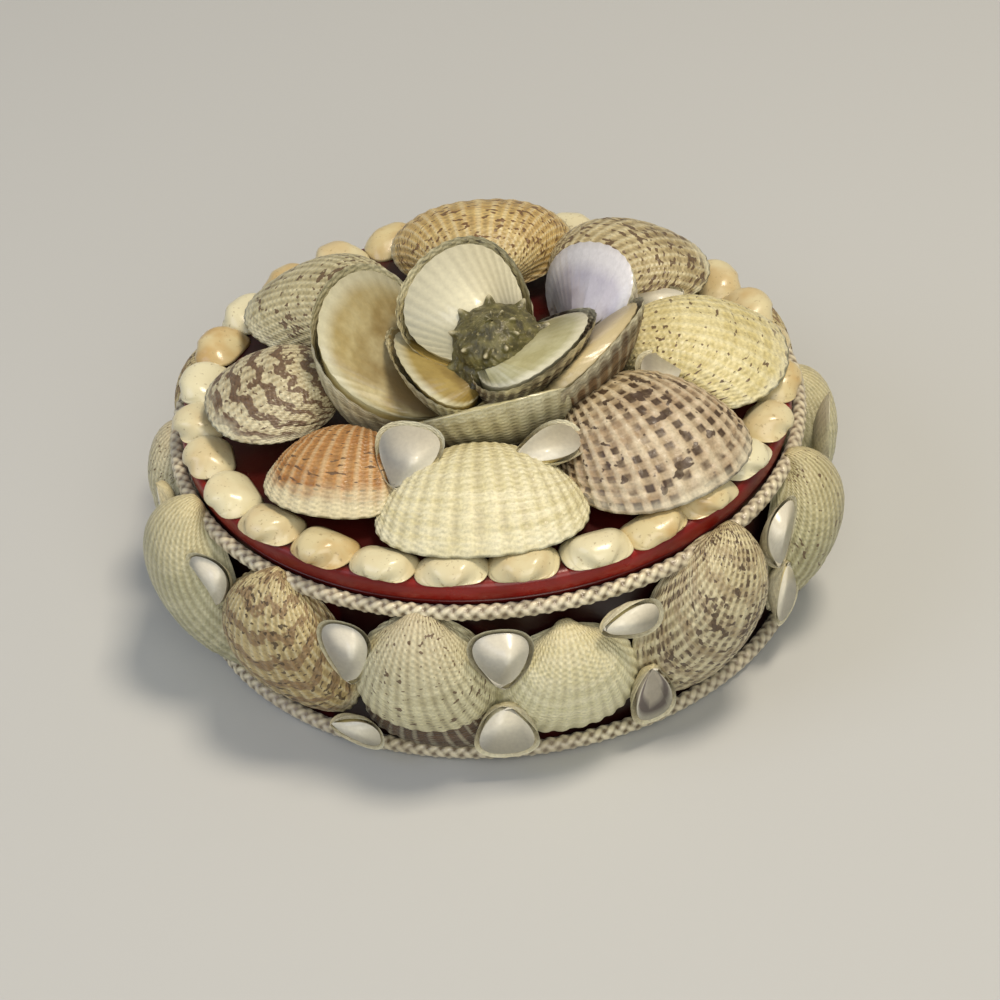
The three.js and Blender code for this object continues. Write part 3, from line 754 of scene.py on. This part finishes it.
class SHELLBOX_OT_edge_shells(bpy.types.Operator):
    """Make the ring of small polished valves round the lid's edge"""

    bl_idname = "shellbox.edge_shells"
    bl_label = "Edge shells"

    def execute(self, context):
        turn = np.random.default_rng(5)
        ring = bmesh.new()
        ring.loops.layers.uv.new("UVMap")
        for i in range(EDGE_COUNT):
            width = EDGE_WIDTH * turn.uniform(0.97, 1.04)
            length = EDGE_LENGTH * turn.uniform(0.95, 1.06)
            bm, u, v = flat_grid(32, 18)
            tall = 0.25 * np.sin(TAU * 2 * u + turn.uniform(0, TAU)) * np.sin(math.pi * v) - 0.12 * np.exp(
                -((v - turn.uniform(0.1, 0.5)) / 0.03) ** 2)
            points = skin(BLUNT, width, length, u, v, turn.uniform(-0.15, 0.15))
            points = points + outward(BUTTON, width, length, u, v) * tall[:, None]
            top = v > 0.9999
            points[top] = points[top].mean(axis=0)
            lay(bm, points * MM)
            bmesh.ops.holes_fill(bm, edges=[e for e in bm.edges if e.is_boundary])
            bmesh.ops.recalc_face_normals(bm, faces=bm.faces)
            bearing = EDGE_FIRST + 360 / EDGE_COUNT * i + turn.uniform(-0.4, 0.4)
            row = (bearing, EDGE_RING + turn.uniform(-0.3, 0.3), EDGE_SEAT, 90,
                   180 + turn.uniform(-9, 9), turn.uniform(-4, 4), width, length)
            bmesh.ops.transform(bm, matrix=place_of(row), verts=bm.verts)
            chart = bm.loops.layers.uv.verify()
            for face in bm.faces:
                for loop in face.loops:
                    loop[chart].uv.x = loop[chart].uv.x * 0.98 + 0.01 + i
            part = bpy.data.meshes.new("edge")
            bm.to_mesh(part)
            bm.free()
            ring.from_mesh(part)
            bpy.data.meshes.remove(part)
        piece(ring, "edge_shell_ring", [polished_button()], "border_shells")
        return {"FINISHED"}


class SHELLBOX_OT_ribbed_shells(bpy.types.Operator):
    """Make the ribbed valves on the lid and round the wall"""

    bl_idname = "shellbox.ribbed_shells"
    bl_label = "Ribbed shells"

    def execute(self, context):
        for i, (name, row) in enumerate(COCKLES.items()):
            own = LOOKS.get(name) or LOOKS[SPARE_LOOKS[i % len(SPARE_LOOKS)]]
            make_cockle(name, row, {**PLAIN, **own}, i + 3)
        return {"FINISHED"}


class SHELLBOX_OT_rosette(bpy.types.Operator):
    """Make the rosette of open valves"""

    bl_idname = "shellbox.rosette"
    bl_label = "Rosette"

    def execute(self, context):
        insides = {
            "petal_inner_left": ("b09a58", "8e763a", "54401c", "d8d2ae", 0.35, 0.8),
            "petal_inner_right": ("c6c6a4", "a8a47a", "7a6f48", "dad8c0", 0.45, 0.7),
            "petal_inner_back": ("dcd6aa", "c9be88", "96803f", "e4e0c4", 0.5, 0.7),
            "petal_back_right": ("c8c8d2", "b4b2c2", "5e4030", "dcdce0", 0.3, 0.9),
            "petal_left": ("cfc496", "b09c64", "7a6238", "dcd8b8", 0.3, 0.85),
            "petal_right": ("b59a6c", "967a50", "5a4028", "cbbd94", 0.4, 0.8),
            "petal_front": ("cdc59a", "b0a674", "7a6440", "d8d4b2", 0.5, 0.7),
        }
        outsides = {
            "petal_inner_right": {"base": "8f8272", "alt": "3c2e2a", "net": 0.9, "fleck": "241a1a",
                                  "flecks": 0.6},
            "petal_right": {"base": "8a7050", "alt": "5a4230", "bands": 0.6, "band": "3a2a20"},
            "petal_front": {"base": "d4cfac", "alt": "b8b18a", "bands": 0.1},
            "petal_left": {"base": "d6d0ae", "alt": "c4bd98"},
            "petal_inner_left": {"base": "cfc6a0", "alt": "b3a880"},
            "petal_back_right": {"base": "c8c0b4", "alt": "b0a898"},
            "petal_inner_back": {"base": "c6be98", "alt": "a89e78", "flecks": 0.3, "fleck": "2e2420"},
        }
        wall = context.scene.shell_box.valve_wall / MM
        for i, (name, row) in enumerate(PETALS.items()):
            look = {**PLAIN, "crimp": 0.003, **outsides.get(name, {})}
            base, deep, stain, rim, reach, amount = insides[name]
            make_open(name, row, PETAL, look, i + 40, wall,
                      [ribbed_shell(name + "_back", look, i + 40),
                       glossy_inside(name + "_lining", base, deep, stain, rim, i * 7.0, reach, amount)],
                      (5 * look["ribs"], 52))
        return {"FINISHED"}


class SHELLBOX_OT_small_clams(bpy.types.Operator):
    """Make the small smooth clam valves between the ribbed ones"""

    bl_idname = "shellbox.small_clams"
    bl_label = "Small clams"

    def execute(self, context):
        linings = [("e0dac0", "d0c8a4", "85787a"), ("dccf9a", "cdbc7e", "7d6e66"),
                   ("d8d0c0", "beb4a2", "5e5052")]
        look = {**PLAIN, "crimp": 0.0, "ribs": 20, "height": 0.03, "bead": 0.0, "base": "cfc8ac",
                "alt": "bdb494", "groove_darkness": 0.05, "steps": 2, "gloss": 0.35}
        back = ribbed_shell("small_clam_back", look, 90)
        for i, (name, row) in enumerate(CLAMS.items()):
            base, deep, stain = linings[i % 3]
            lining = glossy_inside(name + "_lining", base, deep, stain, "e6e2d0", i * 5.0, 0.5, 0.85, True)
            make_open(name, row, CLAM, look, i + 60, 0.9, [back, lining], (44, 20))
        return {"FINISHED"}


class SHELLBOX_OT_snail(bpy.types.Operator):
    """Make the knobbly sea snail in the rosette"""

    bl_idname = "shellbox.snail"
    bl_label = "Sea snail"

    def execute(self, context):
        bm, u, v = flat_grid(200, 110)
        raised = bm.verts.layers.float.new("raised")
        phi = TAU * u
        reach, height = np.array(SNAIL_PROFILE).T
        place = np.linspace(0, 1, len(reach))
        radius, tall = np.interp(v, place, reach), np.interp(v, place, height)
        for _ in range(2):
            beside = np.interp(v + 0.03, place, reach) + np.interp(v - 0.03, place, reach)
            radius = 0.5 * radius + 0.25 * beside
        # The seam winds from the mouth to the tip. The knobs sit on the whorl below it.
        wind = SNAIL_WHORLS * v - u
        seam = 0.06 * np.cos(TAU * wind) - 0.05 * np.maximum(0, np.cos(TAU * (wind - 0.45))) ** 8
        knob = np.maximum(0, np.cos(SNAIL_KNOBS * phi)) ** 2 * np.maximum(0, np.cos(TAU * wind)) ** 4
        low_knob = np.maximum(0, np.cos(SNAIL_KNOBS * phi + 2)) ** 3 * np.exp(-((v - 0.26) / 0.05) ** 2)
        rough = 0.02 * np.sin(11 * phi + 17 * v) * np.sin(29 * v - 3 * phi)
        rough = rough + 0.012 * np.sin(27 * phi + 60 * v)
        knob = knob + 0.8 * low_knob
        radius = radius * (1 + seam + 0.23 * knob + rough)
        for vert, high_place in zip(bm.verts, knob):
            vert[raised] = high_place
        points = np.stack([radius * np.cos(phi), radius * np.sin(phi), tall + 0.8 * knob], -1)
        lay(bm, points * MM)
        bmesh.ops.recalc_face_normals(bm, faces=bm.faces)
        turn = Matrix.Translation(Vector(SNAIL_CENTRE) * MM) @ Euler(SNAIL_TURN).to_matrix().to_4x4()
        bmesh.ops.transform(bm, matrix=turn, verts=bm.verts)
        piece(bm, "sea_snail", [weathered_snail()], "snail")
        return {"FINISHED"}


class SHELLBOX_PT_panel(bpy.types.Panel):
    """Lists the pieces of the box"""

    bl_idname = "SHELLBOX_PT_panel"
    bl_label = "Shell Box"
    bl_space_type = "VIEW_3D"
    bl_region_type = "UI"
    bl_category = "Shell Box"

    def draw(self, context):
        settings = context.scene.shell_box
        for name in ("cord_radius", "cord_thickness", "valve_wall", "table_colour", "lens"):
            self.layout.prop(settings, name)
        for operator in OPERATORS:
            self.layout.operator(operator.bl_idname)


OPERATORS = (
    SHELLBOX_OT_stage,
    SHELLBOX_OT_card_box,
    SHELLBOX_OT_cords,
    SHELLBOX_OT_edge_shells,
    SHELLBOX_OT_ribbed_shells,
    SHELLBOX_OT_rosette,
    SHELLBOX_OT_small_clams,
    SHELLBOX_OT_snail,
)
CLASSES = (ShellBoxSettings, *OPERATORS, SHELLBOX_PT_panel)


def register():
    for item in CLASSES:
        bpy.utils.register_class(item)
    bpy.types.Scene.shell_box = bpy.props.PointerProperty(type=ShellBoxSettings)


def unregister():
    del bpy.types.Scene.shell_box
    for item in reversed(CLASSES):
        bpy.utils.unregister_class(item)


def main():
    register()
    bpy.ops.shellbox.stage()
    bpy.ops.shellbox.card_box()
    bpy.ops.shellbox.cords()
    bpy.ops.shellbox.edge_shells()
    bpy.ops.shellbox.ribbed_shells()
    bpy.ops.shellbox.rosette()
    bpy.ops.shellbox.small_clams()
    bpy.ops.shellbox.snail()


if __name__ == "__main__":
    main()
